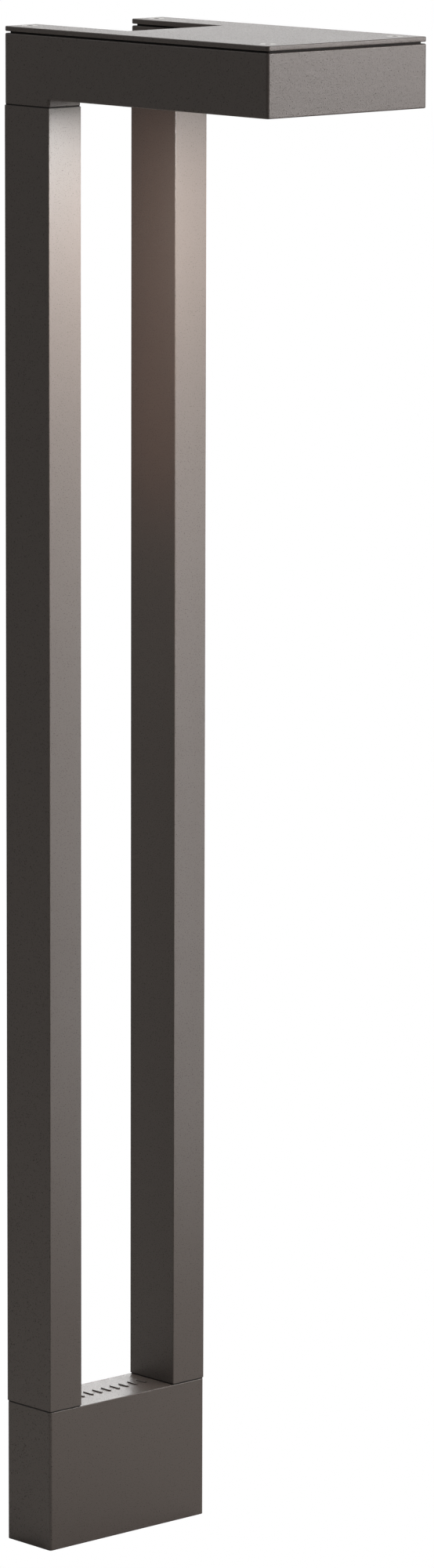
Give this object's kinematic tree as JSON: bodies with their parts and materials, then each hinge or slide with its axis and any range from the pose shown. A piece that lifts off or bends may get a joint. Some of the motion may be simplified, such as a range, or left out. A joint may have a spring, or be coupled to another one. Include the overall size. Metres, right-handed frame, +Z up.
{
  "type": "bollard light",
  "caption": "Path light bollard: two slim rectangular posts on a hollow base carry a flat cantilevered head with a downward window, all clamped over a bolted ground bracket.",
  "frame": {"origin": "on the ground at the centre of the anchor slot pattern, in the middle of the base", "axes": "+Z up; the head reaches out towards -Y; X runs across the two posts"},
  "size_m": [0.146, 0.264, 1.067],
  "materials": {
    "powder_coat": "fine textured bronze powder coat",
    "zinc_steel": "zinc plated",
    "stainless": "satin",
    "seal_rubber": "matt",
    "sink_aluminium": "bead blasted",
    "board_white": "white solder mask",
    "chip_yellow": "phosphor",
    "optic_clear": "clear moulded",
    "window_frosted": "frosted",
    "gear_plastic": "moulded",
    "potting_black": "moulded",
    "bush_black": "moulded",
    "cable_black": "matt",
    "lead_red": "satin",
    "lead_black": "satin",
    "lead_green": "satin",
    "tinned_copper": "tinned"
  },
  "bodies": {
    "ground_bracket": {"mounting_bracket": "zinc_steel", "cable_bush": "bush_black"},
    "lamp": {"base_housing": "powder_coat", "left_post": "powder_coat", "right_post": "powder_coat", "head_housing": "powder_coat", "window_frame": "powder_coat", "set_screws": "stainless", "window_frame_screws": "stainless", "tie_rods": "zinc_steel", "tie_rod_nuts": "zinc_steel", "tie_rod_washers": "zinc_steel", "heat_sink_screws": "zinc_steel", "board_screws": "zinc_steel", "driver_screws": "zinc_steel", "terminal_screws": "zinc_steel", "terminal_clamp_screws": "zinc_steel", "surge_screws": "zinc_steel", "earth_screw": "zinc_steel", "earth_lug": "tinned_copper", "post_foot_gaskets": "seal_rubber", "post_top_gaskets": "seal_rubber", "cover_gasket": "seal_rubber", "window_gasket": "seal_rubber", "base_grommet": "seal_rubber", "head_grommet": "seal_rubber", "heat_sink": "sink_aluminium", "led_board": "board_white", "led_chips": "chip_yellow", "optic_array": "optic_clear", "light_window": "window_frosted", "led_driver": "gear_plastic", "terminal_block": "gear_plastic", "surge_protector": "potting_black", "breather_vent": "bush_black", "breather_nut": "bush_black", "main_cable": "cable_black", "surge_leads": "lead_black", "earth_lead": "lead_green", "red_led_lead": "lead_red", "black_led_lead": "lead_black"},
    "cover": {"top_cover": "powder_coat", "cover_screws": "stainless", "cover_screw_retainers": "bush_black"}
  },
  "joints": [
    {"name": "lamp_lift", "type": "slide", "parent": "ground_bracket", "child": "lamp", "axis": [0, 0, 1], "range_m": [0, 0.1]},
    {"name": "cover_lift", "type": "slide", "parent": "lamp", "child": "cover", "axis": [0, 0, 1], "range_m": [0, 0.04]}
  ]
}
